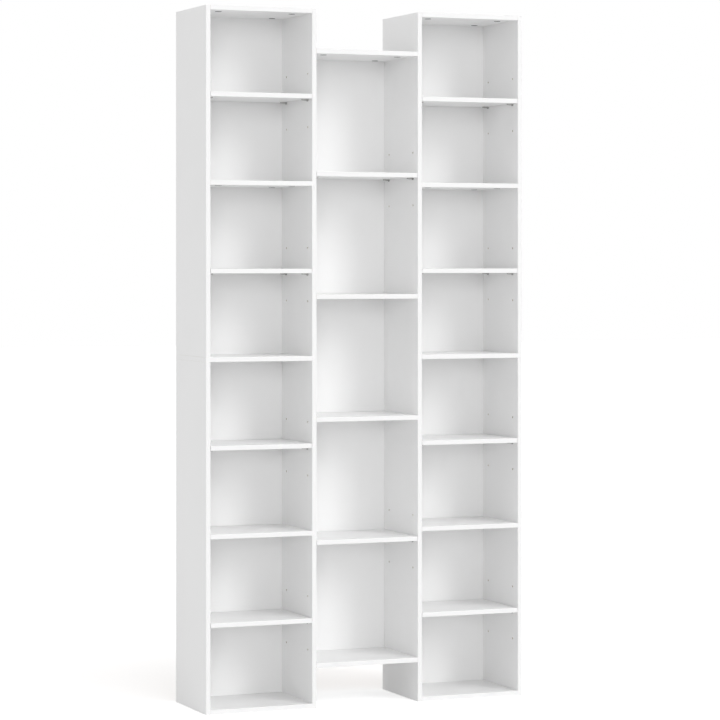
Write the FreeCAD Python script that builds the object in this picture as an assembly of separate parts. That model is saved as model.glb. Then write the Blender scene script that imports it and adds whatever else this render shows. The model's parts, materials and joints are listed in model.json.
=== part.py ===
import FreeCAD, Part
import os
from collections import namedtuple
from math import cos, pi, sin

# Open bookcase of coated boards: two tall outer bays and a raised middle bay between shared uprights.
# Millimetres, +Z up, front towards -Y, origin on the floor at the middle of the width and depth.

# Overall form
HEIGHT = 1800.0
DEPTH = 237.0
BOARD = 12.0  # thickness of every board and upright
OUTER_WIDTH = 277.0  # clear width of each outer bay
MIDDLE_WIDTH = 284.0  # clear width of the middle bay
MIDDLE_INSET = 103.0  # middle bay's height off the floor, and its drop from the top
END_CLEAR = 207.6  # clear height of the lowest and highest compartment of an outer bay

# What each board is, from the floor up
OUTER_BOARDS = ["bottom", "loose", "fixed", "loose", "mid", "loose", "fixed", "loose", "top"]
MIDDLE_BOARDS = ["bottom", "loose", "fixed", "fixed", "loose", "top"]

# Thin back panels in grooves
BACK = 3.0
BACK_RECESS_OUTER = 15.0  # from the rear edges to the back of an outer bay's panel
BACK_RECESS_MIDDLE = 9.0  # the same in the middle bay, so that grooves in one upright are staggered
GROOVE_DEPTH = 4.0
GROOVE_CLEAR = 0.2  # beside each face of a panel
GROOVE_END_GAP = 0.5  # at the bottom of a groove

# Loose shelves and fixed shelves in front of the back panels
SHELF_BACK_GAP = 1.0
SHELF_SIDE_GAP = 1.0

# Spoon-shaped shelf pins and their holes
PIN_INSET = 32.0  # from a shelf's front and rear edges
PIN_PITCH = 69.0  # between a pin and the spare hole above or below it
PIN_RADIUS = 2.5
PIN_CLEAR = 0.1
PIN_DROP = 3.3  # from a shelf's underside down to the pin's axis
HOLE_SKIN = 3.0  # board left behind a blind hole in an upright
HOLE_END_GAP = 0.5  # between a peg's end and the bottom of its hole
SPOON_LENGTH = 17.0
SPOON_WIDTH = 9.0
SPOON_TIP = 1.6  # thickness at the tip

# Cam locks, each on a bolt in the upright
CAM_FRONT = 48.0  # from a board's front edge
CAM_REAR = 25.0  # from a fixed shelf's rear edge
CAM_SETBACK = 38.0  # from a board's end to the middle of the cam
CAM_RADIUS = 7.5
CAM_CLEAR = 0.2
CAM_SKIN = 2.4  # board left above a cam
BOLT_RADIUS = 3.0
BOLT_CLEAR = 0.15
BOLT_PAST_CAM = 1.5  # how far a bolt reaches past the middle of its cam
SLOT_CLEAR = 0.4  # around a bolt in its cam

# Dowels that join the halves of an outer panel through the mid board
DOWEL_RADIUS = 3.0
DOWEL_CLEAR = 0.1
DOWEL_BITE = 14.0  # length in each half
DOWEL_END_GAP = 0.5
DOWEL_INSET = 55.0  # from the front and rear edges

# Small round parts repeat by the dozen, so they are drawn as prisms
CAM_SIDES = 10
PEG_SIDES = 6
BOLT_SIDES = 6

# Worked out from the sizes above
FRONT = -DEPTH / 2
REAR = DEPTH / 2
MIDDLE_FACE = MIDDLE_WIDTH / 2  # middle bay's inner faces, from the centre
OUTER_FACE = MIDDLE_FACE + BOARD + OUTER_WIDTH  # inner faces of the outer panels
HALF_WIDTH = OUTER_FACE + BOARD
HOLE_DEPTH = BOARD - HOLE_SKIN
CAM_HEIGHT = BOARD - CAM_SKIN - CAM_CLEAR
SPARE_ROWS = (-1, 0, 1)  # rows of holes around each shelf pin

X = FreeCAD.Vector(1, 0, 0)
Y = FreeCAD.Vector(0, 1, 0)
Z = FreeCAD.Vector(0, 0, 1)

# A bay lies between two inner faces; side is the side of the outer panel, 0 where it has none
Bay = namedtuple("Bay", "name low high side recess kinds undersides")


def point(x, y, z):
    return FreeCAD.Vector(x, y, z)


def block(x, y, z):
    """Box from three (low, high) pairs."""
    size = [high - low for low, high in (x, y, z)]
    return Part.makeBox(*size, point(x[0], y[0], z[0]))


def bar(start, end, radius, sides):
    """Prism that stands for a round bar or a drilled hole between two points along X or Z."""
    along = end - start
    across = Z if abs(along.z) < abs(along.x) else X
    ring = []
    for i in range(sides):
        turn = 2 * pi * (i + 0.5) / sides
        ring.append(start + across * (radius * cos(turn)) + Y * (radius * sin(turn)))
    return Part.Face(Part.makePolygon(ring + ring[:1])).extrude(along)


def outer_undersides():
    """Undersides of an outer bay's boards: two end compartments, and equal ones between them."""
    first = BOARD + END_CLEAR
    last = HEIGHT - BOARD - END_CLEAR - BOARD
    steps = len(OUTER_BOARDS) - 3
    inner = [first + (last - first) * i / steps for i in range(steps + 1)]
    return [0.0] + inner + [HEIGHT - BOARD]


def middle_undersides():
    """Undersides of the middle bay's boards, evenly spaced."""
    last = HEIGHT - MIDDLE_INSET - BOARD
    steps = len(MIDDLE_BOARDS) - 1
    return [MIDDLE_INSET + (last - MIDDLE_INSET) * i / steps for i in range(steps + 1)]


def make_bays():
    inner_face = MIDDLE_FACE + BOARD
    levels = outer_undersides()
    return [
        Bay("left", -OUTER_FACE, -inner_face, -1, BACK_RECESS_OUTER, OUTER_BOARDS, levels),
        Bay("middle", -MIDDLE_FACE, MIDDLE_FACE, 0, BACK_RECESS_MIDDLE, MIDDLE_BOARDS, middle_undersides()),
        Bay("right", inner_face, OUTER_FACE, 1, BACK_RECESS_OUTER, OUTER_BOARDS, levels),
    ]


def boards_of(bay, *kinds):
    """(kind, underside) of a bay's boards of the given kinds, from the floor up."""
    return [(kind, low) for kind, low in zip(bay.kinds, bay.undersides) if kind in kinds]


def shelf_rear(bay):
    """Rear edge of the shelves that stand in front of the back panel."""
    return REAR - bay.recess - BACK - SHELF_BACK_GAP


def cam_rows(bay):
    return [FRONT + CAM_FRONT, shelf_rear(bay) - CAM_REAR]


def pin_rows(bay):
    return [FRONT + PIN_INSET, shelf_rear(bay) - PIN_INSET]


def walls_of(bay):
    """(inner face, outward direction) of a bay's two walls."""
    return [(bay.low, -1), (bay.high, 1)]


def has_cams(bay, kind, outward):
    """A mid board runs through its outer panel, and has cams only at its inner end."""
    return kind != "mid" or outward != bay.side


def cam_places(bay):
    """(wall face, outward direction, y, board underside) of each cam lock in a bay."""
    places = []
    for kind, low in boards_of(bay, "bottom", "fixed", "mid", "top"):
        for face, outward in walls_of(bay):
            if has_cams(bay, kind, outward):
                places += [(face, outward, y, low) for y in cam_rows(bay)]
    return places


def pin_places(bay):
    """(wall face, outward direction, y, z of the axis) of each shelf pin in a bay."""
    places = []
    for kind, low in boards_of(bay, "loose"):
        for face, outward in walls_of(bay):
            places += [(face, outward, y, low - PIN_DROP) for y in pin_rows(bay)]
    return places


def back_span(bay):
    """Lower and upper edges of the openings that a bay's back panels fill."""
    stops = [low for kind, low in boards_of(bay, "bottom", "mid", "top")]
    return [(below + BOARD, above) for below, above in zip(stops, stops[1:])]


def back_solid(bay, bottom, top, reach, clear):
    """Panel that stands out of the opening by reach, or with clear the groove that takes it."""
    rear = REAR - bay.recess
    return block(
        (bay.low - reach, bay.high + reach),
        (rear - BACK - clear, rear + clear),
        (bottom - reach, top + reach),
    )


def back_grooves(bay):
    return [back_solid(bay, low, high, GROOVE_DEPTH, GROOVE_CLEAR) for low, high in back_span(bay)]


def back_panels(bay):
    reach = GROOVE_DEPTH - GROOVE_END_GAP
    return [back_solid(bay, low, high, reach, 0.0) for low, high in back_span(bay)]


def wall_holes(bay):
    """Everything that is cut into a bay's two walls: bolt holes, pin holes and back grooves."""
    cuts = back_grooves(bay)
    for face, outward, y, low in cam_places(bay):
        mouth = point(face, y, low + BOARD / 2)
        cuts.append(bar(mouth, mouth + X * (outward * HOLE_DEPTH), BOLT_RADIUS + BOLT_CLEAR, BOLT_SIDES))
    for face, outward, y, axis in pin_places(bay):
        for row in SPARE_ROWS:
            mouth = point(face, y, axis + row * PIN_PITCH)
            cuts.append(bar(mouth, mouth + X * (outward * HOLE_DEPTH), PIN_RADIUS + PIN_CLEAR, PEG_SIDES))
    return cuts


def dowel_places(bay):
    """(x, y, mid board's underside) of the dowels through the outer end of a bay's mid board."""
    x = bay.side * (OUTER_FACE + BOARD / 2)
    places = []
    for kind, low in boards_of(bay, "mid"):
        places += [(x, y, low) for y in (FRONT + DOWEL_INSET, REAR - DOWEL_INSET)]
    return places


def dowel(x, y, low, bite, radius):
    start = point(x, y, low - bite)
    return bar(start, point(x, y, low + BOARD + bite), radius, PEG_SIDES)


def dowel_holes(bay):
    return [dowel(x, y, low, DOWEL_BITE, DOWEL_RADIUS + DOWEL_CLEAR) for x, y, low in dowel_places(bay)]


def panel_dowels(bay):
    bite = DOWEL_BITE - DOWEL_END_GAP
    return [dowel(x, y, low, bite, DOWEL_RADIUS) for x, y, low in dowel_places(bay)]


def inner_upright(side, bays):
    """Full-height upright between the middle bay and an outer bay."""
    faces = sorted([side * MIDDLE_FACE, side * (MIDDLE_FACE + BOARD)])
    cuts = [cut for bay in bays for cut in wall_holes(bay)]
    return block(faces, (FRONT, REAR), (0.0, HEIGHT)).cut(cuts)


def outer_panel_halves(bay):
    """Lower and upper halves of an outer panel, parted by the mid board that runs through it."""
    faces = sorted([bay.side * OUTER_FACE, bay.side * HALF_WIDTH])
    cuts = wall_holes(bay) + dowel_holes(bay)
    middle = boards_of(bay, "mid")[0][1]
    spans = {"lower": (0.0, middle), "upper": (middle + BOARD, HEIGHT)}
    return {half: block(faces, (FRONT, REAR), span).cut(cuts) for half, span in spans.items()}


def cam_seats(bay, underside):
    """Cam bores in a board's underside, and the bolt holes that reach them from its ends."""
    cuts = []
    for face, outward, y, low in cam_places(bay):
        if low != underside:
            continue
        x = face - outward * CAM_SETBACK
        bore = BOARD - CAM_SKIN
        cuts.append(bar(point(x, y, low), point(x, y, low + bore), CAM_RADIUS + CAM_CLEAR, CAM_SIDES))
        axis = low + BOARD / 2
        cuts.append(bar(point(face, y, axis), point(x, y, axis), BOLT_RADIUS + BOLT_CLEAR, BOLT_SIDES))
    return cuts


def fixed_board(bay, kind, low):
    """Board held by cam locks. Top, bottom and mid boards are full depth and hold the back panels."""
    ends = [bay.low, bay.high]
    if kind == "mid":
        ends = sorted([bay.side * (MIDDLE_FACE + BOARD), bay.side * HALF_WIDTH])
    rear = shelf_rear(bay) if kind == "fixed" else REAR
    cuts = cam_seats(bay, low) + back_grooves(bay) + dowel_holes(bay)
    return block(ends, (FRONT, rear), (low, low + BOARD)).cut(cuts)


def loose_shelf(bay, low):
    """Plain board that lies on four shelf pins."""
    return block(
        (bay.low + SHELF_SIDE_GAP, bay.high - SHELF_SIDE_GAP),
        (FRONT, shelf_rear(bay)),
        (low, low + BOARD),
    )


def cam_lock(face, outward, y, low):
    """Drum flush with a board's underside, slotted from its rim to take the bolt."""
    x = face - outward * CAM_SETBACK
    drum = bar(point(x, y, low), point(x, y, low + CAM_HEIGHT), CAM_RADIUS, CAM_SIDES)
    half = BOLT_RADIUS + SLOT_CLEAR
    slot_end = x - outward * (BOLT_PAST_CAM + SLOT_CLEAR)
    slot_mouth = x + outward * (CAM_RADIUS + CAM_CLEAR)
    slot = block(
        sorted([slot_end, slot_mouth]),
        (y - half, y + half),
        (low + BOARD / 2 - half, low + BOARD),
    )
    return drum.cut(slot)


def cam_bolt(face, outward, y, low):
    """Bolt from an upright's blind hole, through the board's end and into the cam."""
    root = face + outward * (HOLE_DEPTH - HOLE_END_GAP)
    tip = face - outward * (CAM_SETBACK + BOLT_PAST_CAM)
    axis = low + BOARD / 2
    return bar(point(root, y, axis), point(tip, y, axis), BOLT_RADIUS, BOLT_SIDES)


def shelf_pin(face, outward, y, axis):
    """Peg in the upright, with a tongue that thins from the peg's full depth towards its tip."""
    root = face + outward * (HOLE_DEPTH - HOLE_END_GAP)
    peg = bar(point(root, y, axis), point(face, y, axis), PIN_RADIUS, PEG_SIDES)
    tip = face - outward * SPOON_LENGTH
    top = axis + PIN_DROP
    edge = y - SPOON_WIDTH / 2
    outline = [(face, axis - PIN_RADIUS), (face, top), (tip, top), (tip, top - SPOON_TIP)]
    corners = [point(x, edge, z) for x, z in outline]
    tongue = Part.Face(Part.makePolygon(corners + corners[:1])).extrude(Y * SPOON_WIDTH)
    return peg.fuse(tongue).removeSplitter()


def board_nodes(bay):
    """Named boards of one bay, from the floor up."""
    nodes = {}
    loose = 0
    heights = ["lower", "upper"]
    for kind, low in zip(bay.kinds, bay.undersides):
        if kind == "loose":
            loose += 1
            nodes[f"{bay.name}_adjustable_shelf_{loose}"] = loose_shelf(bay, low)
        elif kind == "fixed":
            nodes[f"{bay.name}_{heights.pop(0)}_fixed_shelf"] = fixed_board(bay, kind, low)
        else:
            nodes[f"{bay.name}_{kind}_board"] = fixed_board(bay, kind, low)
    return nodes


def back_nodes(bay):
    panels = back_panels(bay)
    if bay.side == 0:
        return {f"{bay.name}_back_panel": panels[0]}
    return {f"{bay.name}_{half}_back_panel": panel for half, panel in zip(("lower", "upper"), panels)}


def hardware_nodes(bay):
    """Fittings of one bay, each kind a group of separate solids."""
    nodes = {
        f"{bay.name}_cam_locks": [cam_lock(*place) for place in cam_places(bay)],
        f"{bay.name}_cam_bolts": [cam_bolt(*place) for place in cam_places(bay)],
        f"{bay.name}_shelf_pins": [shelf_pin(*place) for place in pin_places(bay)],
    }
    if bay.side:
        nodes[f"{bay.name}_panel_dowels"] = panel_dowels(bay)
    return {name: Part.makeCompound(solids) for name, solids in nodes.items()}


def upright_nodes(left, middle, right):
    nodes = {
        "left_inner_panel": inner_upright(-1, [left, middle]),
        "right_inner_panel": inner_upright(1, [middle, right]),
    }
    for bay in (left, right):
        for half, panel in outer_panel_halves(bay).items():
            nodes[f"{bay.name}_outer_panel_{half}"] = panel
    return nodes


def main():
    bays = make_bays()
    nodes = upright_nodes(*bays)
    for bay in bays:
        nodes.update(board_nodes(bay))
        nodes.update(back_nodes(bay))
        nodes.update(hardware_nodes(bay))
    os.makedirs("parts", exist_ok=True)
    for name, shape in nodes.items():
        shape.exportStep(f"parts/{name}.step")


main()
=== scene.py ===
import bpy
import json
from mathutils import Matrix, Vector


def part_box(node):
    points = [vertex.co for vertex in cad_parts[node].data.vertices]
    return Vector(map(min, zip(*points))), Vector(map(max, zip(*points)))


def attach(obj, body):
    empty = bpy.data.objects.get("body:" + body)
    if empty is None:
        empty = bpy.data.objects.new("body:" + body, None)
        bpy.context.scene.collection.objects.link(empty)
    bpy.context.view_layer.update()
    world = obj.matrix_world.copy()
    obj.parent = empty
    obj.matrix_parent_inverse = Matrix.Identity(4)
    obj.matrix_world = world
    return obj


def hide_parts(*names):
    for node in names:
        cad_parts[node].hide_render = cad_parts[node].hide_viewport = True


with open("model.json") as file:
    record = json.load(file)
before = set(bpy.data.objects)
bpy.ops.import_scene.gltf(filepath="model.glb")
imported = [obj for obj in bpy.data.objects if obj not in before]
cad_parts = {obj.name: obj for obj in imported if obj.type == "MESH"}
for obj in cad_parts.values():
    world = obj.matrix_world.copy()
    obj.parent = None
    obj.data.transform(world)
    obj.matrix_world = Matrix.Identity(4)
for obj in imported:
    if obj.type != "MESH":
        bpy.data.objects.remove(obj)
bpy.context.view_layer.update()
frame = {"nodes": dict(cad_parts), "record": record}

import json
import math
from collections import namedtuple

import bmesh
import bpy
from mathutils import Matrix, Vector

# Finish of an open bookcase of coated boards, held by cam locks, with loose shelves on pins.
# Metres, +Z up, front towards -Y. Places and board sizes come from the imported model.

MM = 0.001
X, Y, Z = range(3)

# Picking and shading
SAME_POINT = 0.01 * MM  # corners nearer than this are one
TOUCH = 0.1 * MM  # how far a face or edge may be from the place it is picked by
FACING = 0.5  # share of its normal from which a face counts as looking along an axis
SMOOTH_ANGLE = math.radians(35)  # flatter edges are shaded smooth

# Boards
FRONT_ARRIS = 0.8 * MM  # rounding along a board's front edge
ARRIS = 0.4 * MM  # rounding of its other edges
PANEL_ARRIS = 0.2 * MM  # rounding of a thin back panel's edges
ARRIS_STEPS = 3
BROAD_FACE = 1000 * MM * MM  # faces above this area are shaded flat

# Drilling and grooves
DRILL_SIDES = 24
DRILL_START = 0.5 * MM  # how far outside a board a drill starts
HOLE_END_GAP = 0.5 * MM
PIN_HOLE_CLEAR = 0.1 * MM
PIN_PITCH = 69 * MM  # between a pin and the spare hole above or below it
BOLT_HOLE_CLEAR = 0.15 * MM
CAM_CLEAR = 0.2 * MM
DOWEL_HOLE_CLEAR = 0.1 * MM
GROOVE_CLEAR = 0.2 * MM

# Cam locks
CAM_RADIUS = 7.5 * MM
CAM_SIDES = 32
CAM_CHAMFER = 0.3 * MM
CAM_LIP = 8.7 * MM  # radius of the lip that covers the edge of the bore
CAM_LIP_THICK = 0.5 * MM
CAM_LIP_GAP = 0.02 * MM  # between the lip and the board
CAM_RIM = 0.6 * MM
CAM_SUNK = 0.1 * MM  # face inside the rim
CROSS_LENGTH = 7.0 * MM
CROSS_WIDTH = 1.5 * MM
CROSS_DEPTH = 2.2 * MM
SLOT_CLEAR = 0.4 * MM  # around the bolt in a cam

# Cam bolts
BOLT_RADIUS = 3.0 * MM
BOLT_SIDES = 16
THREAD_LENGTH = 8.0 * MM
THREAD_PITCH = 1.6 * MM
THREAD_ROOT = 2.3 * MM
COLLAR_LENGTH = 1.5 * MM
STEM_RADIUS = 2.4 * MM
NECK_RADIUS = 1.7 * MM
NECK_LENGTH = 3.5 * MM
HEAD_LENGTH = 3.0 * MM
BOLT_CHAMFER = 0.5 * MM

# Shelf pins
PIN_RADIUS = 2.5 * MM
PIN_DROP = 3.3 * MM  # from a shelf's underside to the pin's axis
PIN_SIDES = 20
SPOON_LENGTH = 17.0 * MM
SPOON_WIDTH = 9.0 * MM
SPOON_ROOT = 4.0 * MM  # thickness at the wall
SPOON_TIP = 3.2 * MM
SPOON_ROUND = 3.8 * MM  # of the tip, seen from above
SPOON_ROUND_STEPS = 7
SPOON_BELLY = 1.2 * MM  # rounding around the underside
SPOON_BELLY_STEPS = 4
PEG_BITE = 2.5 * MM  # how far the peg runs into the tongue
PEG_CHAMFER = 0.6 * MM

# Beech dowels
DOWEL_RADIUS = 3.0 * MM
DOWEL_FLUTES = 12
FLUTE_DEPTH = 0.25 * MM
DOWEL_CHAMFER = 0.8 * MM

BAYS = ("left", "middle", "right")
OUTER_BAYS = ("left", "right")

Drilling = namedtuple("Drilling", "start end radius")
Place = namedtuple("Place", "at outward")


# Small steps at the bench


def deselect():
    bpy.ops.object.select_all(action="DESELECT")


def make_active(piece):
    deselect()
    piece.select_set(True)
    bpy.context.view_layer.objects.active = piece


def apply_place():
    bpy.ops.object.transform_apply(location=True, rotation=True, scale=True)


def edit_all(piece):
    make_active(piece)
    bpy.ops.object.mode_set(mode="EDIT")
    bpy.ops.mesh.select_all(action="SELECT")


def edit_faces(piece, chosen):
    """Opens a piece in edit mode with the faces that pass a test selected."""
    edit_all(piece)
    bpy.ops.mesh.select_mode(type="FACE")
    bpy.ops.mesh.select_all(action="DESELECT")
    for face in bmesh.from_edit_mesh(piece.data).faces:
        face.select_set(chosen(face))
    bmesh.update_edit_mesh(piece.data)


def edit_edges(piece, chosen):
    """Opens a piece in edit mode with the edges whose two ends pass a test selected."""
    edit_all(piece)
    bpy.ops.mesh.select_mode(type="EDGE")
    bpy.ops.mesh.select_all(action="DESELECT")
    for edge in bmesh.from_edit_mesh(piece.data).edges:
        if chosen(edge.verts[0].co, edge.verts[1].co):
            edge.select_set(True)
    bmesh.update_edit_mesh(piece.data)


def leave_edit():
    bpy.ops.object.mode_set(mode="OBJECT")


def make_block(low, high):
    """Box between two corners, with its place in its mesh."""
    deselect()
    bpy.ops.mesh.primitive_cube_add(size=1, location=(low + high) / 2, scale=high - low)
    apply_place()
    return bpy.context.object


def make_turned(rings, sides):
    """Round piece along +Z, drawn out ring by ring from (height, radius) pairs."""
    (height, radius), *rest = rings
    deselect()
    bpy.ops.mesh.primitive_circle_add(
        vertices=sides, radius=radius, fill_type="NGON", location=(0, 0, height)
    )
    apply_place()
    piece = bpy.context.object
    edit_all(piece)
    for next_height, next_radius in rest:
        rise = (0, 0, next_height - height)
        bpy.ops.mesh.extrude_region_move(TRANSFORM_OT_translate={"value": rise})
        scale = next_radius / radius
        bpy.ops.transform.resize(value=(scale, scale, 1), center_override=(0, 0, next_height))
        height, radius = next_height, next_radius
    bpy.ops.mesh.select_all(action="SELECT")
    bpy.ops.mesh.normals_make_consistent(inside=False)
    leave_edit()
    return piece


def lay_along_x(piece):
    """Turns a piece that was made along +Z to lie along +X."""
    make_active(piece)
    piece.rotation_euler = (0, math.pi / 2, 0)
    apply_place()


def joined(pieces):
    make_active(pieces[0])
    for piece in pieces:
        piece.select_set(True)
    if len(pieces) > 1:
        bpy.ops.object.join()
    return bpy.context.object


def combine(piece, tool, operation, finish):
    """Cuts a tool out of a piece, or welds it on, with this finish on the new faces."""
    tool.data.materials.append(finish)
    change = piece.modifiers.new("combine", "BOOLEAN")
    change.operation = operation
    change.solver = "EXACT"
    change.material_mode = "TRANSFER"
    change.object = tool
    make_active(piece)
    bpy.ops.object.modifier_apply(modifier=change.name)
    bpy.data.objects.remove(tool)


def shade(piece):
    """Smooth over rounded edges and holes, flat on broad faces."""
    make_active(piece)
    bpy.ops.object.shade_smooth_by_angle(angle=SMOOTH_ANGLE)
    for face in piece.data.polygons:
        if face.area > BROAD_FACE:
            face.use_smooth = False


def set_out(pattern, places):
    """Copies of a pattern, each at its place and turned to its wall."""
    copies = []
    for place in places:
        copy = pattern.copy()
        copy.data = pattern.data.copy()
        bpy.context.collection.objects.link(copy)
        turn = 0 if place.outward > 0 else math.pi
        copy.data.transform(Matrix.Translation(place.at) @ Matrix.Rotation(turn, 4, "Z"))
        copies.append(copy)
    bpy.data.objects.remove(pattern)
    return copies


# Where the fittings are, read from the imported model


def solids_of(node):
    """Lowest and highest corner of each separate solid in a CAD node."""
    shell = bmesh.new()
    shell.from_mesh(frame["nodes"][node].data)
    bmesh.ops.remove_doubles(shell, verts=shell.verts[:], dist=SAME_POINT)
    boxes, seen = [], set()
    for first in shell.verts:
        if first in seen:
            continue
        island = [first]
        seen.add(first)
        for vert in island:
            near = [edge.other_vert(vert) for edge in vert.link_edges]
            island += [other for other in near if other not in seen]
            seen.update(near)
        corners = [vert.co for vert in island]
        low = Vector([min(corner[i] for corner in corners) for i in range(3)])
        high = Vector([max(corner[i] for corner in corners) for i in range(3)])
        boxes.append((low, high))
    shell.free()
    return boxes


def walls_of(bay):
    """X of a bay's two inner faces, which its fixed shelves meet."""
    low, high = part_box(f"{bay}_upper_fixed_shelf")
    return low.x, high.x


def outward_of(bay, x):
    """+1 for a fitting at a bay's right wall, -1 at its left."""
    return 1 if x > sum(walls_of(bay)) / 2 else -1


def wall_by(bay, outward):
    return walls_of(bay)[1] if outward > 0 else walls_of(bay)[0]


def pin_places(bay):
    """Where each pin's tongue meets the wall, at the height of the shelf's underside."""
    places = []
    for low, high in solids_of(f"{bay}_shelf_pins"):
        middle = (low + high) / 2
        outward = outward_of(bay, middle.x)
        places.append(Place(Vector((wall_by(bay, outward), middle.y, high.z)), outward))
    return places


def cam_places(bay):
    """Middle of each cam lock's underside, with the side its bolt is on."""
    places = []
    for low, high in solids_of(f"{bay}_cam_locks"):
        middle = (low + high) / 2
        places.append(Place(Vector((middle.x, middle.y, low.z)), outward_of(bay, middle.x)))
    return places


def bolt_places(bay):
    """Tip of each bolt, inside its cam lock."""
    places = []
    for low, high in solids_of(f"{bay}_cam_bolts"):
        middle = (low + high) / 2
        outward = outward_of(bay, middle.x)
        tip = low.x if outward > 0 else high.x
        places.append(Place(Vector((tip, middle.y, middle.z)), outward))
    return places


def dowel_places(bay):
    """Lower end of each dowel."""
    places = []
    for low, high in solids_of(f"{bay}_panel_dowels"):
        middle = (low + high) / 2
        places.append(Place(Vector((middle.x, middle.y, low.z)), 1))
    return places


def length_of(node, axis):
    """Length along one axis of the first solid in a CAD node."""
    low, high = solids_of(node)[0]
    return (high - low)[axis]


def cam_bores(bay):
    height = length_of(f"{bay}_cam_locks", Z)
    start, end = Vector((0, 0, -DRILL_START)), Vector((0, 0, height + CAM_CLEAR))
    radius = CAM_RADIUS + CAM_CLEAR
    return [Drilling(place.at + start, place.at + end, radius) for place in cam_places(bay)]


def bolt_holes(bay):
    length = length_of(f"{bay}_cam_bolts", X)
    run = Vector((length + HOLE_END_GAP, 0, 0))
    radius = BOLT_RADIUS + BOLT_HOLE_CLEAR
    return [Drilling(at, at + run * outward, radius) for at, outward in bolt_places(bay)]


def pin_holes(bay):
    """Hole of each shelf pin, with the spare holes above and below it."""
    depth = length_of(f"{bay}_shelf_pins", X) - SPOON_LENGTH + HOLE_END_GAP
    holes = []
    for at, outward in pin_places(bay):
        for row in (-PIN_PITCH, 0, PIN_PITCH):
            axis = at + Vector((0, 0, row - PIN_DROP))
            start = axis - Vector((DRILL_START * outward, 0, 0))
            end = axis + Vector((depth * outward, 0, 0))
            holes.append(Drilling(start, end, PIN_RADIUS + PIN_HOLE_CLEAR))
    return holes


def dowel_holes(bay):
    run = Vector((0, 0, length_of(f"{bay}_panel_dowels", Z)))
    gap = Vector((0, 0, HOLE_END_GAP))
    radius = DOWEL_RADIUS + DOWEL_HOLE_CLEAR
    return [Drilling(place.at - gap, place.at + run + gap, radius) for place in dowel_places(bay)]


def drillings_of(bay):
    """Every round hole in a bay's boards and walls."""
    holes = cam_bores(bay) + bolt_holes(bay) + pin_holes(bay)
    if bay in OUTER_BAYS:
        holes += dowel_holes(bay)
    return holes


def back_nodes(bay):
    if bay in OUTER_BAYS:
        return [f"{bay}_lower_back_panel", f"{bay}_upper_back_panel"]
    return [f"{bay}_back_panel"]


def grooves_of(bay):
    """Room that a bay's back panels take in the boards around them."""
    room = Vector((HOLE_END_GAP, GROOVE_CLEAR, HOLE_END_GAP))
    boxes = [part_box(node) for node in back_nodes(bay)]
    return [(low - room, high + room) for low, high in boxes]


def reach_of(hole):
    """Box around a drilling."""
    margin = Vector((hole.radius,) * 3)
    low = Vector([min(pair) for pair in zip(hole.start, hole.end)]) - margin
    high = Vector([max(pair) for pair in zip(hole.start, hole.end)]) + margin
    return low, high


def meets(box, other):
    return all(box[0][i] < other[1][i] and other[0][i] < box[1][i] for i in range(3))


# Shader parts that several finishes share


def add(tree, kind, inputs=None, **settings):
    """Adds a node with its settings, and fills its named inputs."""
    node = tree.nodes.new(f"ShaderNode{kind}")
    for name, value in settings.items():
        setattr(node, name, value)
    for name, value in (inputs or {}).items():
        node.inputs[name].default_value = value
    return node


def wire(tree, source, output, target, field):
    tree.links.new(source.outputs[output], target.inputs[field])


def new_group(name, inputs, outputs):
    """Empty shader group with number inputs beside its Vector, and number outputs."""
    group = bpy.data.node_groups.new(name, "ShaderNodeTree")
    group.interface.new_socket("Vector", in_out="INPUT", socket_type="NodeSocketVector")
    for socket in inputs:
        group.interface.new_socket(socket, in_out="INPUT", socket_type="NodeSocketFloat")
    for socket in outputs:
        group.interface.new_socket(socket, in_out="OUTPUT", socket_type="NodeSocketFloat")
    return group, group.nodes.new("NodeGroupInput"), group.nodes.new("NodeGroupOutput")


def make_fine_tooth():
    """Fine tooth of a pressed or plated skin, with gloss that follows it and slow clouding."""
    group, start, end = new_group(
        "fine_tooth", ["Grain", "Gloss Low", "Gloss High"], ["Cloud", "Roughness", "Height"]
    )
    grain = add(group, "TexNoise", {"Detail": 3.0, "Roughness": 0.6})
    cloud = add(group, "TexNoise", {"Scale": 7.0, "Detail": 2.0})
    gloss = add(group, "MapRange")
    wire(group, start, "Vector", grain, "Vector")
    wire(group, start, "Vector", cloud, "Vector")
    wire(group, start, "Grain", grain, "Scale")
    wire(group, grain, "Fac", gloss, "Value")
    wire(group, start, "Gloss Low", gloss, "To Min")
    wire(group, start, "Gloss High", gloss, "To Max")
    wire(group, cloud, "Fac", end, "Cloud")
    wire(group, gloss, "Result", end, "Roughness")
    wire(group, grain, "Fac", end, "Height")
    return group


def weighted_sum(tree, parts):
    """Sum of several outputs, each times its share."""
    total = None
    for output, share in parts:
        step = add(tree, "Math", operation="MULTIPLY_ADD")
        tree.links.new(output, step.inputs[0])
        step.inputs[1].default_value = share
        step.inputs[2].default_value = 0
        if total:
            tree.links.new(total, step.inputs[2])
        total = step.outputs[0]
    return total


def make_pressed_chips():
    """Flakes of pressed wood: a shade for each chip, broken up by fibres and a slow mottle."""
    group, start, end = new_group("pressed_chips", ["Chip", "Fibre"], ["Shade", "Height"])
    chips = add(group, "TexVoronoi")
    fibres = add(group, "TexNoise", {"Detail": 5.0, "Roughness": 0.7})
    mottle = add(group, "TexNoise", {"Scale": 14.0, "Detail": 4.0, "Roughness": 0.65})
    tone = add(group, "SeparateColor")
    for texture in (chips, fibres, mottle):
        wire(group, start, "Vector", texture, "Vector")
    wire(group, start, "Chip", chips, "Scale")
    wire(group, start, "Fibre", fibres, "Scale")
    wire(group, chips, "Color", tone, "Color")
    chip, fibre, patch = tone.outputs["Red"], fibres.outputs["Fac"], mottle.outputs["Fac"]
    group.links.new(weighted_sum(group, [(chip, 0.4), (fibre, 0.3), (patch, 0.3)]), end.inputs["Shade"])
    group.links.new(weighted_sum(group, [(chip, 0.6), (fibre, 0.4)]), end.inputs["Height"])
    return group


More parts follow.
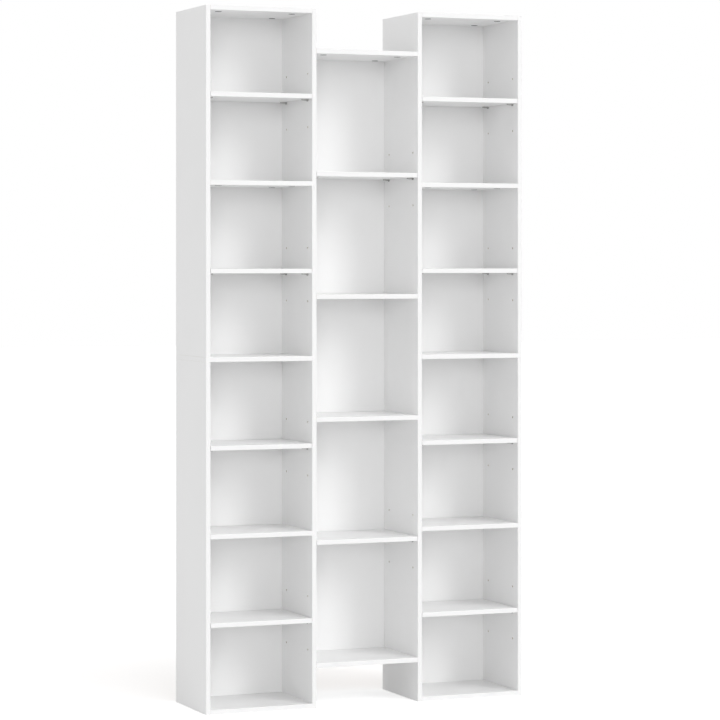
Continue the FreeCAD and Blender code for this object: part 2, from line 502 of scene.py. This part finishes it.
FINE_TOOTH = make_fine_tooth()
PRESSED_CHIPS = make_pressed_chips()

# Finishes


def new_material(name):
    material = bpy.data.materials.new(name)
    material.use_nodes = True
    tree = material.node_tree
    return material, tree, tree.nodes["Principled BSDF"], add(tree, "TexCoord")


def tint(tree, dark, light):
    """Ramp between two colours."""
    ramp = add(tree, "ValToRGB")
    ramp.color_ramp.elements[0].color = (*dark, 1)
    ramp.color_ramp.elements[1].color = (*light, 1)
    return ramp


def relief(tree, shader, source, output, strength, depth):
    """Bump from a height that a node puts out."""
    bump = add(tree, "Bump", {"Strength": strength, "Distance": depth})
    wire(tree, source, output, bump, "Height")
    wire(tree, bump, "Normal", shader, "Normal")


def skin(name, dark, light, grain, gloss, strength, depth, metallic=0.0):
    """Finish with a fine tooth: coated board, edge band, paint or plated metal."""
    material, tree, shader, place = new_material(name)
    shader.inputs["Metallic"].default_value = metallic
    tooth = add(tree, "Group", node_tree=FINE_TOOTH)
    tooth.inputs["Grain"].default_value = grain
    tooth.inputs["Gloss Low"].default_value = gloss[0]
    tooth.inputs["Gloss High"].default_value = gloss[1]
    colour = tint(tree, dark, light)
    wire(tree, place, "Object", tooth, "Vector")
    wire(tree, tooth, "Cloud", colour, "Fac")
    wire(tree, colour, "Color", shader, "Base Color")
    wire(tree, tooth, "Roughness", shader, "Roughness")
    relief(tree, shader, tooth, "Height", strength=strength, depth=depth)
    return material


def bare_wood(name, dark, light, chip, fibre, roughness, depth):
    """Bare pressed wood."""
    material, tree, shader, place = new_material(name)
    shader.inputs["Roughness"].default_value = roughness
    chips = add(tree, "Group", node_tree=PRESSED_CHIPS)
    chips.inputs["Chip"].default_value = chip
    chips.inputs["Fibre"].default_value = fibre
    colour = tint(tree, dark, light)
    wire(tree, place, "Object", chips, "Vector")
    wire(tree, chips, "Shade", colour, "Fac")
    wire(tree, colour, "Color", shader, "Base Color")
    relief(tree, shader, chips, "Height", strength=0.6, depth=depth)
    return material


def make_beech():
    """Straight-grained beech, grain along Z."""
    material, tree, shader, place = new_material("beech")
    shader.inputs["Roughness"].default_value = 0.6
    stretch = add(tree, "Mapping", {"Scale": (1, 1, 0.06)})
    grain = add(tree, "TexNoise", {"Scale": 900.0, "Detail": 4.0})
    colour = tint(tree, (0.42, 0.24, 0.12), (0.66, 0.44, 0.26))
    wire(tree, place, "Object", stretch, "Vector")
    wire(tree, stretch, "Vector", grain, "Vector")
    wire(tree, grain, "Fac", colour, "Fac")
    wire(tree, colour, "Color", shader, "Base Color")
    relief(tree, shader, grain, "Fac", strength=0.4, depth=0.1 * MM)
    return material


def grey(level):
    return (level, level, level)


COATING = skin(
    "white_coating",
    grey(0.89),
    grey(0.91),
    grain=900,
    gloss=(0.38, 0.5),
    strength=0.25,
    depth=0.02 * MM,
)
# Edge band: the coating's white made darker. This is painted shade, so that the lamp-facing fronts render
# below pure white and stand apart from the white ground.
SHADED_BAND = skin(
    "edge_band_painted_shade",
    grey(0.77),
    grey(0.79),
    grain=500,
    gloss=(0.3, 0.38),
    strength=0.2,
    depth=0.01 * MM,
)
PAINT = skin(
    "painted_hardboard",
    grey(0.88),
    grey(0.91),
    grain=1400,
    gloss=(0.5, 0.62),
    strength=0.3,
    depth=0.03 * MM,
)
# Cam zinc is much darker than bare zinc. This is painted shade for the cams, which sit in shadow under the
# boards.
SHADED_ZINC = skin(
    "die_cast_zinc_painted_shade",
    (0.15, 0.15, 0.16),
    (0.23, 0.23, 0.24),
    grain=1500,
    gloss=(0.5, 0.66),
    strength=0.4,
    depth=0.05 * MM,
    metallic=0.8,
)
STEEL = skin(
    "plated_steel",
    (0.5, 0.49, 0.45),
    (0.6, 0.59, 0.55),
    grain=1200,
    gloss=(0.25, 0.38),
    strength=0.2,
    depth=0.02 * MM,
    metallic=1.0,
)
NICKEL = skin(
    "nickel_plate",
    (0.34, 0.34, 0.33),
    (0.42, 0.42, 0.41),
    grain=1200,
    gloss=(0.24, 0.36),
    strength=0.2,
    depth=0.02 * MM,
    metallic=1.0,
)
CHIPBOARD = bare_wood(
    "bare_chipboard",
    (0.44, 0.39, 0.32),
    (0.74, 0.68, 0.58),
    chip=420,
    fibre=1500,
    roughness=0.9,
    depth=0.15 * MM,
)
HARDBOARD = bare_wood(
    "bare_hardboard",
    (0.2, 0.11, 0.055),
    (0.36, 0.21, 0.11),
    chip=700,
    fibre=2600,
    roughness=0.8,
    depth=0.08 * MM,
)
BEECH = make_beech()

# Boards and back panels

BOARD_FINISHES = (COATING, SHADED_BAND, CHIPBOARD)
X_START, X_END = (X, -1), (X, 1)
FRONT, REAR = (Y, -1), (Y, 1)
FOOT, TOP = (Z, -1), (Z, 1)


def bare_edges(node):
    """Edges of a board that get no finish: (axis, sign) of their faces."""
    if "adjustable_shelf" in node:
        return ()
    if "outer_panel_lower" in node:
        return (REAR, FOOT, TOP)
    if "_panel" in node:
        return (REAR, FOOT)
    if node == "left_mid_board":
        return (REAR, X_END)
    if node == "right_mid_board":
        return (REAR, X_START)
    return (REAR, X_START, X_END)


def thin_axis(board):
    return min(range(3), key=lambda axis: board.dimensions[axis])


def dress_edges(board, bare):
    """Band along the front edge, in a white darkened as painted shade, bare chipboard on the edges without
    a finish, coating on the rest.
    """
    for finish in BOARD_FINISHES:
        board.data.materials.append(finish)
    for face in board.data.polygons:
        axis = max(range(3), key=lambda i: abs(face.normal[i]))
        side = (axis, 1 if face.normal[axis] > 0 else -1)
        if side in bare:
            finish = CHIPBOARD
        else:
            finish = SHADED_BAND if side == FRONT else COATING
        face.material_index = BOARD_FINISHES.index(finish)


def rounded_board(node, arris, front_arris):
    """Board of a CAD node's size with its edges rounded, more so along the front."""
    low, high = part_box(node)
    board = make_block(low, high)
    board.name = f"{node}_finished"
    thin = thin_axis(board)
    share = arris / front_arris
    edit_all(board)
    bpy.ops.transform.edge_bevelweight(value=share)
    leave_edit()
    edit_edges(board, lambda a, b: max(a.y, b.y) < low.y + arris and abs(a[thin] - b[thin]) < arris)
    bpy.ops.transform.edge_bevelweight(value=1 - share)
    leave_edit()
    rounding = board.modifiers.new("rounding", "BEVEL")
    rounding.limit_method = "WEIGHT"
    rounding.width = front_arris
    rounding.segments = ARRIS_STEPS
    make_active(board)
    bpy.ops.object.modifier_apply(modifier=rounding.name)
    return board


def drill_bit(hole):
    run = hole.end - hole.start
    deselect()
    bpy.ops.mesh.primitive_cylinder_add(
        vertices=DRILL_SIDES,
        radius=hole.radius,
        depth=run.length,
        location=(hole.start + hole.end) / 2,
        rotation=run.to_track_quat("Z", "Y").to_euler(),
    )
    apply_place()
    return bpy.context.object


def machine(board, node, holes, grooves):
    """Drills and grooves a board, and leaves bare chipboard on the cut faces."""
    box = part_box(node)
    cutters = [drill_bit(hole) for hole in holes if meets(box, reach_of(hole))]
    if "shelf" not in node:
        cutters += [make_block(*groove) for groove in grooves if meets(box, groove)]
    if cutters:
        combine(board, joined(cutters), "DIFFERENCE", CHIPBOARD)


def body_of(node):
    bodies = frame["record"]["behaviour"]["bodies"]
    return next(body for body, nodes in bodies.items() if node in nodes)


def seat(piece, node):
    """Puts a piece on its body in place of a CAD node."""
    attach(piece, body_of(node))
    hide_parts(node)


def is_board(node):
    fittings = ("cam_locks", "cam_bolts", "shelf_pins", "panel_dowels", "back_panel")
    return not node.endswith(fittings)


def make_boards():
    holes = [hole for bay in BAYS for hole in drillings_of(bay)]
    grooves = [groove for bay in BAYS for groove in grooves_of(bay)]
    for node in filter(is_board, sorted(frame["nodes"])):
        board = rounded_board(node, ARRIS, FRONT_ARRIS)
        dress_edges(board, bare_edges(node))
        machine(board, node, holes, grooves)
        shade(board)
        seat(board, node)


def make_backs():
    """Thin panels, painted on the front and bare on the rear."""
    for node in [node for bay in BAYS for node in back_nodes(bay)]:
        panel = rounded_board(node, PANEL_ARRIS, PANEL_ARRIS)
        panel.data.materials.append(PAINT)
        panel.data.materials.append(HARDBOARD)
        for face in panel.data.polygons:
            face.material_index = 0 if face.normal.y < -FACING else 1
        shade(panel)
        seat(panel, node)


# Fittings


def make_cam_lock(height, bolt_rise, has_lip):
    """Drum up from the origin: sunk face, cross recess, bolt slot towards +X, and maybe a lip below."""
    if has_lip:
        rings = [
            (-CAM_LIP_THICK, CAM_LIP - CAM_CHAMFER),
            (CAM_CHAMFER - CAM_LIP_THICK, CAM_LIP),
            (-CAM_LIP_GAP, CAM_LIP),
            (-CAM_LIP_GAP, CAM_RADIUS),
        ]
    else:
        rings = [(0, CAM_RADIUS - CAM_CHAMFER), (CAM_CHAMFER, CAM_RADIUS)]
    underside = rings[0][0]
    rings += [(height - CAM_CHAMFER, CAM_RADIUS), (height, CAM_RADIUS - CAM_CHAMFER)]
    cam = make_turned(rings, CAM_SIDES)
    edit_faces(cam, lambda face: face.calc_center_median().z < underside + TOUCH)
    bpy.ops.mesh.inset(thickness=CAM_RIM)
    bpy.ops.transform.translate(value=(0, 0, CAM_SUNK))
    leave_edit()
    cam.data.materials.append(SHADED_ZINC)
    arm = Vector((CROSS_LENGTH / 2, CROSS_WIDTH / 2, CROSS_DEPTH))
    cross_arm = Vector((CROSS_WIDTH / 2, CROSS_LENGTH / 2, CROSS_DEPTH))
    for size in (arm, cross_arm):
        combine(cam, make_block(-size, size), "DIFFERENCE", SHADED_ZINC)
    half = BOLT_RADIUS + SLOT_CLEAR
    slot_low = Vector((-half, -half, bolt_rise - half))
    slot_high = Vector((2 * CAM_RADIUS, half, 2 * height))
    combine(cam, make_block(slot_low, slot_high), "DIFFERENCE", SHADED_ZINC)
    shade(cam)
    return cam


def make_cam_bolt(length):
    """Bolt along +X from its head: head, neck, stem, collar and screw thread."""
    thread_start = length - THREAD_LENGTH
    rings = [
        (0, BOLT_RADIUS - BOLT_CHAMFER),
        (BOLT_CHAMFER, BOLT_RADIUS),
        (HEAD_LENGTH - BOLT_CHAMFER, BOLT_RADIUS),
        (HEAD_LENGTH, NECK_RADIUS),
        (HEAD_LENGTH + NECK_LENGTH, NECK_RADIUS),
        (HEAD_LENGTH + NECK_LENGTH + BOLT_CHAMFER, STEM_RADIUS),
        (thread_start - COLLAR_LENGTH, STEM_RADIUS),
        (thread_start - COLLAR_LENGTH, BOLT_RADIUS),
        (thread_start, BOLT_RADIUS),
        (thread_start, THREAD_ROOT),
    ]
    for turn in range(int(THREAD_LENGTH / THREAD_PITCH)):
        crest = thread_start + (turn + 0.5) * THREAD_PITCH
        rings += [(crest, BOLT_RADIUS), (crest + THREAD_PITCH / 2, THREAD_ROOT)]
    bolt = make_turned(rings, BOLT_SIDES)
    lay_along_x(bolt)
    bolt.data.materials.append(STEEL)
    shade(bolt)
    return bolt


def make_shelf_pin(reach):
    """Pin for a wall at +X: peg in the wall, and a spoon-shaped tongue with its top at the origin."""
    half = SPOON_WIDTH / 2
    pin = make_block(Vector((-SPOON_LENGTH, -half, -SPOON_ROOT)), Vector((0, half, 0)))

    def at_tip(a, b):
        return max(a.x, b.x) < TOUCH - SPOON_LENGTH

    edit_edges(pin, lambda a, b: at_tip(a, b) and max(a.z, b.z) < -TOUCH)
    bpy.ops.transform.translate(value=(0, 0, SPOON_ROOT - SPOON_TIP))
    leave_edit()
    edit_edges(pin, lambda a, b: at_tip(a, b) and abs(a.y - b.y) < TOUCH)
    bpy.ops.mesh.bevel(offset=SPOON_ROUND, segments=SPOON_ROUND_STEPS, affect="EDGES")
    leave_edit()
    edit_edges(pin, lambda a, b: max(a.z, b.z) < TOUCH - SPOON_TIP and min(a.x, b.x) < -TOUCH)
    bpy.ops.mesh.bevel(offset=SPOON_BELLY, segments=SPOON_BELLY_STEPS, affect="EDGES")
    leave_edit()
    rings = [(-PEG_BITE, PIN_RADIUS), (reach - PEG_CHAMFER, PIN_RADIUS), (reach, PIN_RADIUS - PEG_CHAMFER)]
    peg = make_turned(rings, PIN_SIDES)
    lay_along_x(peg)
    peg.data.transform(Matrix.Translation((0, 0, -PIN_DROP)))
    pin.data.materials.append(NICKEL)
    combine(pin, peg, "UNION", NICKEL)
    shade(pin)
    return pin


def make_dowel(length):
    """Fluted dowel along +Z with chamfered ends."""
    tip = DOWEL_RADIUS - DOWEL_CHAMFER / 2
    rings = [(0, tip), (DOWEL_CHAMFER, DOWEL_RADIUS), (length - DOWEL_CHAMFER, DOWEL_RADIUS), (length, tip)]
    dowel = make_turned(rings, 2 * DOWEL_FLUTES)

    def in_flute(point):
        return round(math.atan2(point.y, point.x) / math.pi * DOWEL_FLUTES) % 2 == 1

    edit_edges(dowel, lambda a, b: in_flute(a) and in_flute(b))
    narrow = 1 - FLUTE_DEPTH / DOWEL_RADIUS
    bpy.ops.transform.resize(value=(narrow, narrow, 1), center_override=(0, 0, 0))
    leave_edit()
    dowel.data.materials.append(BEECH)
    shade(dowel)
    return dowel


def fit(copies, node):
    """Makes one piece of a bay's fittings of one kind."""
    piece = joined(copies)
    piece.name = f"{node}_finished"
    seat(piece, node)


def make_cam_locks(bay, node):
    """Cam locks with lips, but flush ones in a board that lies on the floor."""
    places = cam_places(bay)
    lowest_cam = min(place.at.z for place in places)
    lowest_bolt = min(place.at.z for place in bolt_places(bay))
    copies = []
    for has_lip in (True, False):
        cam = make_cam_lock(length_of(node, Z), lowest_bolt - lowest_cam, has_lip)
        copies += set_out(cam, [place for place in places if (place.at.z > CAM_LIP_THICK) == has_lip])
    return copies


def make_fittings(bay):
    cams, bolts, pins, dowels = (
        f"{bay}_{kind}" for kind in ("cam_locks", "cam_bolts", "shelf_pins", "panel_dowels")
    )
    fit(make_cam_locks(bay, cams), cams)
    fit(set_out(make_cam_bolt(length_of(bolts, X)), bolt_places(bay)), bolts)
    pin = make_shelf_pin(length_of(pins, X) - SPOON_LENGTH)
    fit(set_out(pin, pin_places(bay)), pins)
    if bay in OUTER_BAYS:
        fit(set_out(make_dowel(length_of(dowels, Z)), dowel_places(bay)), dowels)


make_boards()
make_backs()
for bay in BAYS:
    make_fittings(bay)

# Camera: level, well to the left, at chest height

CAMERA_AT = Vector((-2.838, -6.9587, 1.1473))
CAMERA_TURN = math.radians(22.382)
LENS = 142.86
SENSOR_WIDTH = 36
FAR_CLIP = 100
FRAME_DROP = -0.1358  # keeps the view level while the frame takes in the floor


def make_camera():
    deselect()
    bpy.ops.object.camera_add(location=CAMERA_AT, rotation=(math.pi / 2, 0, -CAMERA_TURN))
    camera = bpy.context.object
    camera.data.sensor_width = SENSOR_WIDTH
    camera.data.lens = LENS
    camera.data.shift_y = FRAME_DROP
    camera.data.clip_end = FAR_CLIP
    bpy.context.scene.camera = camera


# Floor, backdrop and light

FLOOR_SIZE = 60
AMBIENT = 0.56
FLOOR_LIFT = 0.45  # light that only the camera sees, so that the open floor is white

# Lamps far off: degrees to the right of the front and up from the floor, strength, degrees across
Lamp = namedtuple("Lamp", "right up strength across")
LAMPS = {
    "overhead": Lamp(right=12, up=50, strength=0.17, across=40),
    "left_front": Lamp(right=-20, up=6, strength=0.18, across=20),
    "right_key": Lamp(right=27, up=25, strength=0.155, across=20),
    "right_fill": Lamp(right=42, up=25, strength=0.19, across=45),
    "left_side": Lamp(right=-90, up=5, strength=0.045, across=20),
}


def seen_directly(tree):
    """1 for what the camera sees, straight, mirrored or through glass; 0 for light that falls on things."""
    path = add(tree, "LightPath")
    mirrored = add(tree, "Math", operation="MAXIMUM")
    either = add(tree, "Math", operation="MAXIMUM")
    tree.links.new(path.outputs["Is Camera Ray"], mirrored.inputs[0])
    tree.links.new(path.outputs["Is Glossy Ray"], mirrored.inputs[1])
    tree.links.new(mirrored.outputs[0], either.inputs[0])
    tree.links.new(path.outputs["Is Transmission Ray"], either.inputs[1])
    return either


def make_world():
    world = bpy.data.worlds.new("studio")
    bpy.context.scene.world = world
    world.use_nodes = True
    tree = world.node_tree
    sky = tree.nodes["Background"]
    sky.inputs["Color"].default_value = (1, 1, 1, 1)
    strength = add(tree, "MapRange", {"To Min": AMBIENT, "To Max": 1.0})
    tree.links.new(seen_directly(tree).outputs[0], strength.inputs["Value"])
    wire(tree, strength, "Result", sky, "Strength")


def make_lamp(name, lamp):
    """Soft parallel light from one direction."""
    turn, rise = math.radians(lamp.right), math.radians(lamp.up)
    towards = Vector((math.sin(turn) * math.cos(rise), -math.cos(turn) * math.cos(rise), math.sin(rise)))
    deselect()
    bpy.ops.object.light_add(type="SUN", rotation=towards.to_track_quat("Z", "Y").to_euler())
    light = bpy.context.object
    light.name = name
    light.data.energy = lamp.strength * math.pi
    light.data.angle = math.radians(lamp.across)


def make_floor():
    """Pale floor that takes the shadow, lifted to white where the camera sees it."""
    deselect()
    bpy.ops.mesh.primitive_plane_add(size=FLOOR_SIZE)
    floor = bpy.context.object
    floor.name = "floor"
    paint = skin(
        "floor_paint",
        grey(0.88),
        grey(0.9),
        grain=40,
        gloss=(0.8, 0.9),
        strength=0.1,
        depth=0.1 * MM,
    )
    tree = paint.node_tree
    shader = tree.nodes["Principled BSDF"]
    shader.inputs["Emission Color"].default_value = (1, 1, 1, 1)
    lift = add(tree, "MapRange", {"To Min": 0.0, "To Max": FLOOR_LIFT})
    tree.links.new(seen_directly(tree).outputs[0], lift.inputs["Value"])
    wire(tree, lift, "Result", shader, "Emission Strength")
    floor.data.materials.append(paint)


for name, lamp in LAMPS.items():
    make_lamp(name, lamp)
make_camera()
make_world()
make_floor()
bpy.context.scene.view_settings.view_transform = "Standard"
